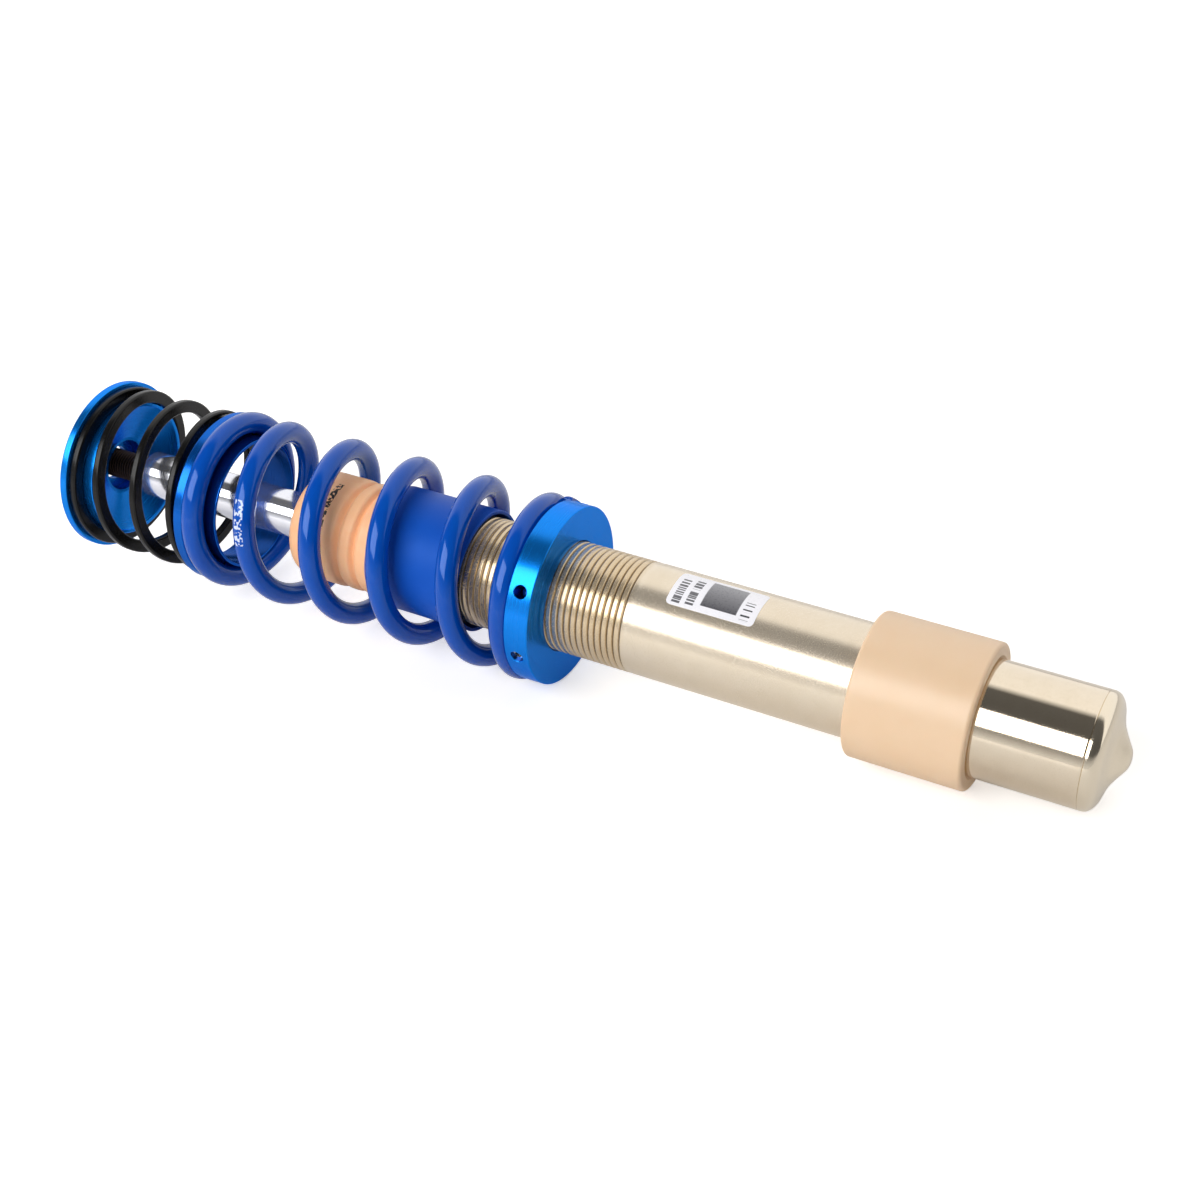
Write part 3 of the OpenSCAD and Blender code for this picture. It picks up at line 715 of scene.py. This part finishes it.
def helper_black():
    """Black gloss coat of the flat wire: cloudy gloss and a few rubbed spots."""
    f = Finish("black_spring_coat", (0.0035, 0.0032, 0.0030), 0.24, IOR=1.45, Specular_IOR_Level=0.32)
    f.blend_colour(f.spread(f.noise(2.4, 6.0), 0.66, 0.78, 0.0, 0.25), (0.03, 0.026, 0.022))
    f.roughen(f.spread(f.noise(0.9, 4.0), 0.3, 0.75, 0.18, 0.30))
    f.bump(f.noise(1.4, 3.0), 0.006, 0.4)
    return f.material


def plated_tube():
    """Champagne zinc-nickel plate: satin above the sleeve, brighter below it, golden on the thread, with
    painted shade darkening the thread roots.
    """
    f = Finish("champagne_zinc_nickel_plate", (0.80, 0.70, 0.56), 0.24, 1.0)
    x = f.axes()[0]
    bright = f.spread(x, 0.0, 6 * MM)
    f.link(f.spread(x, 0.0, 6 * MM, 0.74, 1.0), f.shader.inputs["Metallic"])
    stipple = f.noise(0.45, 5.0, rough=0.7)
    grind = f.lathe_marks(0.25)
    f.blend_colour(f.spread(f.noise(7.0, 4.0), 0.35, 0.8, 0.0, 0.4), (0.72, 0.61, 0.46))
    f.blend_colour(f.spread(stipple, 0.55, 0.70, 0.0, 0.4), (0.54, 0.44, 0.31))
    f.blend_colour(f.spread(x, (THREAD_END - 2) * MM, (THREAD_END + 2) * MM, 0.75, 0.0), (0.66, 0.50, 0.30))
    # Painted shade: the thread roots are darkened by groove depth.
    f.blend_colour(f.spread(f.mark("groove"), 0.45, 1.0, 0.0, 0.9), (0.060, 0.040, 0.018))
    satin = f.spread(stipple, 0.3, 0.75, 0.19, 0.31)
    gloss = f.spread(stipple, 0.3, 0.75, 0.05, 0.13)
    rough = f.node("ShaderNodeMix", data_type="FLOAT")
    for socket, value in zip((0, 2, 3), (bright, satin, gloss)):
        f.link(value, rough.inputs[socket])
    f.roughen(rough.outputs[0])
    f.bump(grind, 0.004, 0.35)
    f.bump(stipple, 0.012, 0.5)
    return f.material


def plated_cap():
    """The same plate on the pressed cap: bright, with a few press marks."""
    f = Finish("bright_plated_cap", (0.80, 0.71, 0.57), 0.10, 1.0)
    stipple = f.noise(0.5, 5.0, rough=0.7)
    f.blend_colour(f.spread(stipple, 0.56, 0.72, 0.0, 0.3), (0.52, 0.43, 0.30))
    f.roughen(f.spread(stipple, 0.3, 0.75, 0.08, 0.2))
    f.bump(f.noise(3.5, 3.0), 0.03, 0.3)
    return f.material


def sleeve_plastic():
    """Sand coloured satin plastic: faint turning rings, a cloudy tone and small scuffs."""
    f = Finish("sand_acetal_plastic", (0.82, 0.59, 0.385), 0.28, IOR=1.55, Subsurface_Weight=0.12,
               Subsurface_Radius=(0.9, 0.5, 0.3), Subsurface_Scale=0.002)
    f.blend_colour(f.spread(f.noise(14.0, 3.0), 0.35, 0.8, 0.0, 0.4), (0.85, 0.64, 0.45))
    f.blend_colour(f.spread(f.noise(1.3, 6.0), 0.66, 0.76, 0.0, 0.25), (0.74, 0.50, 0.29))
    rings = f.lathe_marks(0.35)
    f.roughen(f.spread(rings, 0.25, 0.75, 0.28, 0.42))
    f.bump(rings, 0.006, 0.5)
    return f.material


def bump_foam():
    """Salmon polyurethane foam: matt skin with tiny pores and two short rows of unreadable ink marks."""
    f = Finish("salmon_foam", (0.98, 0.52, 0.27), 0.50, IOR=1.45, Subsurface_Weight=0.15,
               Subsurface_Radius=(1.0, 0.5, 0.25), Subsurface_Scale=0.002)
    f.blend_colour(f.spread(f.noise(6.0, 4.0), 0.35, 0.75, 0.0, 0.45), (0.99, 0.62, 0.37))
    pores = f.noise(0.7, 4.0, rough=0.65)
    f.blend_colour(f.spread(pores, 0.62, 0.74, 0.0, 0.35), (0.66, 0.32, 0.14))
    x, _, angle = f.axes()
    rows = f.math("MAXIMUM", f.window(x, (BUMP_TOP + 10.5) * MM, (BUMP_TOP + 13.0) * MM, 0.15 * MM),
                  f.window(x, (BUMP_TOP + 15.5) * MM, (BUMP_TOP + 18.5) * MM, 0.15 * MM))
    part = f.window(angle, 0.26, 0.42, 0.002)
    strokes = f.spread(f.noise(1.4, 1.0), 0.46, 0.49)
    f.blend_colour(f.math("MULTIPLY", f.math("MULTIPLY", rows, part), strokes), (0.012, 0.012, 0.014))
    f.roughen(f.spread(pores, 0.3, 0.75, 0.42, 0.62))
    f.bump(pores, 0.03, 0.5)
    return f.material


def dust_plastic():
    """Ultramarine moulded plastic: matt, lightly grained and dusty."""
    f = Finish("ultramarine_matt_plastic", (0.003, 0.075, 0.46), 0.45, IOR=1.47,
               Specular_Tint=(0.25, 0.5, 1.0, 1))
    f.blend_colour(f.spread(f.noise(8.0, 4.0), 0.4, 0.8, 0.0, 0.5), (0.006, 0.090, 0.52))
    grain = f.noise(0.4, 4.0, rough=0.7)
    f.roughen(f.spread(grain, 0.3, 0.75, 0.40, 0.58))
    f.bump(grain, 0.02, 0.4)
    return f.material


def rod_chrome():
    """Hard chrome on the bar and dark phosphate on the threaded stud, with painted shade darkening the stud's
    thread roots.
    """
    f = Finish("hard_chrome", (0.86, 0.87, 0.94), 0.10, 0.93)
    stud = f.mark("stud")
    grind = f.lathe_marks(0.12)
    f.blend_colour(f.spread(f.noise(10.0), 0.4, 0.8, 0.0, 0.25), (0.74, 0.75, 0.84))
    f.blend_colour(stud, (0.060, 0.040, 0.034))
    # Painted shade: the stud's thread roots are darkened by groove depth.
    f.blend_colour(f.mark("groove"), (0.008, 0.006, 0.005))
    rough = f.node("ShaderNodeMix", data_type="FLOAT")
    f.link(stud, rough.inputs[0])
    f.link(f.spread(grind, 0.3, 0.7, 0.08, 0.14), rough.inputs[2])
    f.link(f.spread(f.noise(0.3, 4.0), 0.3, 0.75, 0.35, 0.55), rough.inputs[3])
    f.roughen(rough.outputs[0])
    f.bump(grind, 0.0006, 0.3)
    return f.material


def label_foil():
    """White foil with generic print: two rows of bars, one shaded block and a short row of bars beside it."""
    f = Finish("white_label_foil", (0.93, 0.92, 0.97), 0.30, IOR=1.5)
    split = f.node("ShaderNodeSeparateXYZ")
    f.link(f.node("ShaderNodeTexCoord").outputs["UV"], split.inputs[0])
    u, v = split.outputs[0], split.outputs[1]

    def dashes(u0, u1, v0, v1, pace, seed):
        run = f.node("ShaderNodeCombineXYZ")
        f.link(f.math("MULTIPLY", v, pace), run.inputs[0])
        run.inputs[1].default_value = seed
        letters = f.node("ShaderNodeTexNoise")
        letters.inputs["Scale"].default_value = 1.0
        letters.inputs["Detail"].default_value = 1.0
        f.link(run.outputs[0], letters.inputs["Vector"])
        inside = f.math("MULTIPLY", f.window(u, u0, u1, 0.004), f.window(v, v0, v1, 0.004))
        return f.math("MULTIPLY", inside, f.spread(letters.outputs[0], 0.46, 0.5))

    f.blend_colour(f.spread(f.noise(5.0), 0.45, 0.8, 0.0, 0.3), (0.84, 0.84, 0.91))
    f.blend_colour(f.math("MULTIPLY", dashes(0.06, 0.15, 0.25, 0.93, 22.0, 3.1), 0.9), (0.05, 0.05, 0.06))
    f.blend_colour(f.math("MULTIPLY", dashes(0.21, 0.30, 0.20, 0.93, 22.0, 7.7), 0.9), (0.05, 0.05, 0.06))
    block_u, block_v = f.window(u, 0.38, 0.78, 0.01), f.window(v, 0.10, 0.84, 0.01)
    shade = f.spread(v, 0.2, 0.95, 0.7, 0.98)
    f.blend_colour(f.math("MULTIPLY", f.math("MULTIPLY", block_u, block_v), shade), (0.03, 0.03, 0.04))
    f.blend_colour(dashes(0.83, 0.93, 0.45, 0.93, 22.0, 5.2), (0.03, 0.03, 0.04))
    f.roughen(f.spread(f.noise(0.8, 3.0), 0.3, 0.7, 0.24, 0.36))
    f.bump(f.noise(4.0, 2.0), 0.02, 0.3)
    return f.material


def plain_finish(name, colour, second, rough, metallic, cell, relief):
    """A finish for inner and small parts: two tones, uneven gloss and a fine grain of cell millimetres."""
    f = Finish(name, colour, rough, metallic)
    grain = f.noise(cell, 4.0, rough=0.65)
    f.blend_colour(f.spread(f.noise(cell * 9), 0.35, 0.8, 0.0, 0.6), second)
    f.blend_colour(f.spread(grain, 0.62, 0.75, 0.0, 0.35), tuple(0.6 * c for c in colour))
    f.roughen(f.spread(grain, 0.3, 0.75, rough * 0.8, rough * 1.25))
    f.bump(f.lathe_marks(cell) if metallic else grain, relief, 0.5)
    return f.material


PLAIN = {
    "perch_set_screw": ("bright_screw_steel", (0.72, 0.73, 0.76), (0.60, 0.61, 0.66), 0.18, 1.0, 0.3, 0.004),
    "set_screw_pad": ("natural_pad_nylon", (0.74, 0.72, 0.62), (0.68, 0.64, 0.52), 0.45, 0.0, 0.5, 0.01),
    "gland_nut": ("dark_gland_steel", (0.20, 0.20, 0.22), (0.14, 0.14, 0.16), 0.35, 1.0, 0.3, 0.006),
    "rod_wiper": ("wiper_rubber", (0.020, 0.020, 0.020), (0.035, 0.034, 0.032), 0.55, 0.0, 0.5, 0.02),
    "rod_seal": ("seal_rubber", (0.025, 0.025, 0.024), (0.040, 0.038, 0.036), 0.50, 0.0, 0.5, 0.02),
    "gland_o_ring": ("o_ring_rubber", (0.015, 0.015, 0.015), (0.03, 0.03, 0.028), 0.42, 0.0, 0.5, 0.01),
    "rod_guide": ("sintered_guide_steel", (0.30, 0.30, 0.31), (0.22, 0.22, 0.23), 0.45, 1.0, 0.35, 0.01),
    "guide_bush": ("bronze_bush", (0.55, 0.34, 0.15), (0.42, 0.26, 0.12), 0.35, 1.0, 0.3, 0.006),
    "working_cylinder": ("drawn_cylinder_steel", (0.50, 0.51, 0.54), (0.42, 0.43, 0.46),
                         0.25, 1.0, 0.3, 0.004),
    "piston": ("sintered_piston_steel", (0.28, 0.28, 0.29), (0.20, 0.20, 0.21), 0.45, 1.0, 0.35, 0.01),
    "piston_band": ("green_piston_band", (0.06, 0.13, 0.10), (0.08, 0.16, 0.13), 0.45, 0.0, 0.4, 0.01),
    "piston_shims": ("blued_shim_steel", (0.42, 0.43, 0.47), (0.34, 0.35, 0.42), 0.22, 1.0, 0.25, 0.003),
    "piston_nut": ("yellow_zinc_nut", (0.55, 0.50, 0.32), (0.48, 0.44, 0.34), 0.28, 1.0, 0.3, 0.005),
    "rebound_stop": ("rebound_rubber", (0.030, 0.030, 0.030), (0.05, 0.048, 0.045), 0.50, 0.0, 0.5, 0.02),
    "foot_valve": ("sintered_valve_steel", (0.32, 0.32, 0.33), (0.24, 0.24, 0.25), 0.42, 1.0, 0.35, 0.01),
    "foot_valve_shims": ("valve_shim_steel", (0.44, 0.45, 0.48), (0.36, 0.37, 0.42), 0.22, 1.0, 0.25, 0.003),
    "foot_valve_screw": ("valve_screw_steel", (0.50, 0.48, 0.40), (0.42, 0.40, 0.34), 0.30, 1.0, 0.3, 0.005),
}


def dress(piece, material):
    """Gives a piece its one material."""
    piece.data.materials.clear()
    piece.data.materials.append(material)


# ---------------------------------------------------------------- floor, light and camera

def stage_floor():
    """A wide pale floor that leans with the strut's rest: it touches the spring and the sleeve."""
    low_x, low_z = SPRING_LOW - 6, -(COIL_R + WIRE_R)
    high_x, high_z = SLEEVE_LOW - 3, -SLEEVE_R
    slope = (high_z - low_z) / (high_x - low_x)
    half = 6000.0
    x = np.array([-half, half])
    z = low_z + slope * (x - low_x) - 0.2
    grid = np.stack(np.broadcast_arrays(x[:, None], np.array([-half, half]), z[:, None]), axis=2)
    mesh = bpy.data.meshes.new("floor")
    mesh.from_pydata((grid.reshape(-1, 3) * MM).tolist(), [], [[0, 2, 3, 1]])
    floor = bpy.data.objects.new("floor", mesh)
    bpy.context.scene.collection.objects.link(floor)
    f = Finish("pale_floor", (0.86, 0.85, 0.84), 0.75, Specular_IOR_Level=0.1)
    f.put("Emission Color", (1, 0.99, 0.975, 1))
    seen = f.node("ShaderNodeLightPath").outputs["Is Camera Ray"]
    f.link(f.math("MULTIPLY", seen, 0.50), f.shader.inputs["Emission Strength"])
    dress(floor, f.material)


def softbox(name, centre, aim, width, height, radiance):
    """A rectangular area light at centre that faces aim; its power gives the asked radiance."""
    light = bpy.data.lights.new(name, "AREA")
    light.shape = "RECTANGLE"
    light.size, light.size_y = width, height
    light.energy = radiance * math.pi * width * height
    lamp = bpy.data.objects.new(name, light)
    bpy.context.scene.collection.objects.link(lamp)
    back = np.array(centre) - np.array(aim)
    back /= np.linalg.norm(back)
    lamp.location = centre
    lamp.rotation_euler = (math.acos(back[2]), 0, math.atan2(back[0], -back[1]))


def studio():
    """A front softbox, and a world that is bright behind and near the horizon and dark overhead."""
    softbox("front_softbox", (-0.71, -1.13, 0.85), (-0.51, 0, 0), 1.68, 0.84, 4.8)
    world = bpy.data.worlds.new("studio_world")
    bpy.context.scene.world = world
    world.use_nodes = True
    tree = world.node_tree
    nodes, links = tree.nodes, tree.links
    split = nodes.new("ShaderNodeSeparateXYZ")
    links.new(nodes.new("ShaderNodeTexCoord").outputs["Generated"], split.inputs[0])
    lean = nodes.new("ShaderNodeMath")
    lean.operation = "ARCTAN2"
    links.new(split.outputs[2], lean.inputs[0])
    links.new(split.outputs[1], lean.inputs[1])
    share = nodes.new("ShaderNodeMapRange")
    share.inputs["From Min"].default_value = -math.pi
    share.inputs["From Max"].default_value = math.pi
    links.new(lean.outputs[0], share.inputs["Value"])
    ramp_node = nodes.new("ShaderNodeValToRGB")
    bands = [(76, 1.0), (87, 0.11), (128, 0.09), (156, 0.09), (166, 0.35)]
    elements = ramp_node.color_ramp.elements
    elements[0].position, elements[0].color = 0.5, (0.95, 0.95, 0.95, 1)
    elements[1].position, elements[1].color = 1.0, (0.7, 0.7, 0.7, 1)
    for degrees, level in bands:
        made = elements.new(0.5 + degrees / 360)
        made.color = (level, level * 0.985, level * 0.96, 1)
    links.new(share.outputs[0], ramp_node.inputs[0])
    seen = nodes.new("ShaderNodeMix")
    seen.data_type = "RGBA"
    links.new(nodes.new("ShaderNodeLightPath").outputs["Is Camera Ray"], seen.inputs[0])
    links.new(ramp_node.outputs[0], seen.inputs[6])
    seen.inputs[7].default_value = (0.98, 0.98, 0.98, 1)
    background = nodes["Background"]
    background.inputs["Strength"].default_value = 1.15
    links.new(seen.outputs[2], background.inputs["Color"])


def camera():
    """The main view: from the front right, above, with a slightly long lens."""
    azimuth, elevation = math.radians(27.56), math.radians(34.13)
    data = bpy.data.cameras.new("camera")
    data.lens = 55.8
    data.sensor_width = 36
    data.clip_end = 50
    eye = bpy.data.objects.new("camera", data)
    bpy.context.scene.collection.objects.link(eye)
    eye.location = (0.16265, -0.60057, 0.46143)
    eye.rotation_euler = (math.pi / 2 - elevation, 0, azimuth)
    bpy.context.scene.camera = eye


# ---------------------------------------------------------------- the strut

PIECES = (
    (main_spring, powder_coat), (helper_spring, helper_black), (strut_tube, plated_tube),
    (end_cap, plated_cap), (piston_rod, rod_chrome), (knuckle_sleeve, sleeve_plastic),
    (bump_stop, bump_foam), (dust_sleeve, dust_plastic), (type_label, label_foil),
)
for build, coat in PIECES:
    dress(build(), coat())
azure = anodised("azure_anodised_aluminium", (0.004, 0.24, 0.87))
dress(spring_perch(), azure)
dress(upper_plate(), azure)
dress(spring_coupler(), anodised("royal_anodised_aluminium", (0.003, 0.12, 0.56)))
for node, values in PLAIN.items():
    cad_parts[node].material_slots[0].material = plain_finish(*values)

stage_floor()
studio()
camera()
bpy.context.scene.view_settings.view_transform = "Standard"
